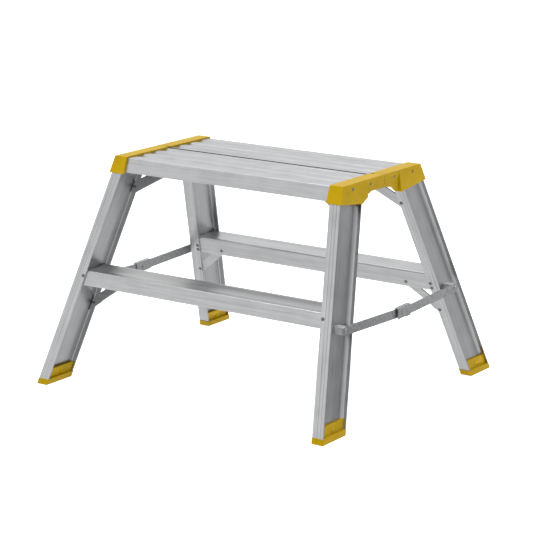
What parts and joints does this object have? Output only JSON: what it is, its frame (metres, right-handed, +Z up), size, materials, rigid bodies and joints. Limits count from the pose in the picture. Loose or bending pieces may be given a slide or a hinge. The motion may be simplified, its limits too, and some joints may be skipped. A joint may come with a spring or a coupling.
{
  "type": "folding sawhorse",
  "caption": "Folding aluminium work trestle: ribbed platform on splayed channel legs with a step on each side, yellow end caps and feet, and locking stays.",
  "frame": {"origin": "on the floor, under the middle of the platform", "axes": "+X along the platform to the right, +Y towards the rear step, +Z up"},
  "size_m": [0.774, 0.698, 0.5],
  "materials": {
    "extrusion": "mill-finish aluminium extrusion",
    "brace_bar": "mill-finish flat aluminium bar",
    "yellow_moulding": "moulded yellow plastic, satin",
    "rivet": "plain steel blind rivets",
    "screw": "dark plated steel screws",
    "stay_bar": "zinc-plated flat steel",
    "stay_rivet": "zinc-plated steel",
    "pivot_block": "moulded black plastic"
  },
  "bodies": {
    "front_frame": {"front_brace_rivets": "rivet", "front_cap_left": "yellow_moulding", "front_cap_right": "yellow_moulding", "front_cap_screws": "screw", "front_foot_left": "yellow_moulding", "front_foot_pins": "rivet", "front_foot_right": "yellow_moulding", "front_lower_brace_left": "brace_bar", "front_lower_brace_right": "brace_bar", "front_pivot_block_left": "pivot_block", "front_pivot_block_right": "pivot_block", "front_pivot_rivet_left": "stay_rivet", "front_pivot_rivet_right": "stay_rivet", "front_platform": "extrusion", "front_step": "extrusion", "front_step_rivets": "rivet", "front_stile_left": "extrusion", "front_stile_right": "extrusion", "front_top_brace_left": "brace_bar", "front_top_brace_right": "brace_bar", "hinge_pin_left": "stay_rivet", "hinge_pin_right": "stay_rivet"},
    "rear_frame": {"rear_brace_rivets": "rivet", "rear_cap_left": "yellow_moulding", "rear_cap_right": "yellow_moulding", "rear_cap_screws": "screw", "rear_foot_left": "yellow_moulding", "rear_foot_pins": "rivet", "rear_foot_right": "yellow_moulding", "rear_lower_brace_left": "brace_bar", "rear_lower_brace_right": "brace_bar", "rear_pivot_block_left": "pivot_block", "rear_pivot_block_right": "pivot_block", "rear_platform": "extrusion", "rear_step": "extrusion", "rear_step_rivets": "rivet", "rear_stile_left": "extrusion", "rear_stile_right": "extrusion", "rear_top_brace_left": "brace_bar", "rear_top_brace_right": "brace_bar"},
    "front_link_right": {"stay_front_bar_right": "stay_bar"},
    "rear_link_right": {"rear_pivot_rivet_right": "stay_rivet", "stay_centre_rivet_right": "stay_rivet", "stay_clip_right": "stay_bar", "stay_rear_bar_right": "stay_bar"},
    "front_link_left": {"stay_front_bar_left": "stay_bar"},
    "rear_link_left": {"rear_pivot_rivet_left": "stay_rivet", "stay_centre_rivet_left": "stay_rivet", "stay_clip_left": "stay_bar", "stay_rear_bar_left": "stay_bar"}
  },
  "joints": [
    {"name": "fold", "type": "hinge", "parent": "front_frame", "child": "rear_frame", "pos_m": [0, 0, 0.4785], "axis": [-1, 0, 0], "range_deg": [0, 54]},
    {"name": "front_link_right_pivot", "type": "hinge", "parent": "front_frame", "child": "front_link_right", "pos_m": [0.3592, -0.22261, 0.212], "axis": [1, 0, 0], "range_deg": [0, 44.84]},
    {"name": "rear_link_right_pivot", "type": "hinge", "parent": "front_link_right", "child": "rear_link_right", "pos_m": [0.3592, 0, 0.204], "axis": [-1, 0, 0], "range_deg": [0, 143.57]},
    {"name": "front_link_left_pivot", "type": "hinge", "parent": "front_frame", "child": "front_link_left", "pos_m": [-0.3592, -0.22261, 0.212], "axis": [1, 0, 0], "range_deg": [0, 44.84]},
    {"name": "rear_link_left_pivot", "type": "hinge", "parent": "front_link_left", "child": "rear_link_left", "pos_m": [-0.3592, 0, 0.204], "axis": [-1, 0, 0], "range_deg": [0, 143.57]}
  ],
  "couplings": [
    {"joint": "front_link_right_pivot", "follows": "fold", "ratio": 0.82846},
    {"joint": "rear_link_right_pivot", "follows": "fold", "ratio": 2.6569},
    {"joint": "front_link_left_pivot", "follows": "fold", "ratio": 0.82846},
    {"joint": "rear_link_left_pivot", "follows": "fold", "ratio": 2.6569}
  ]
}
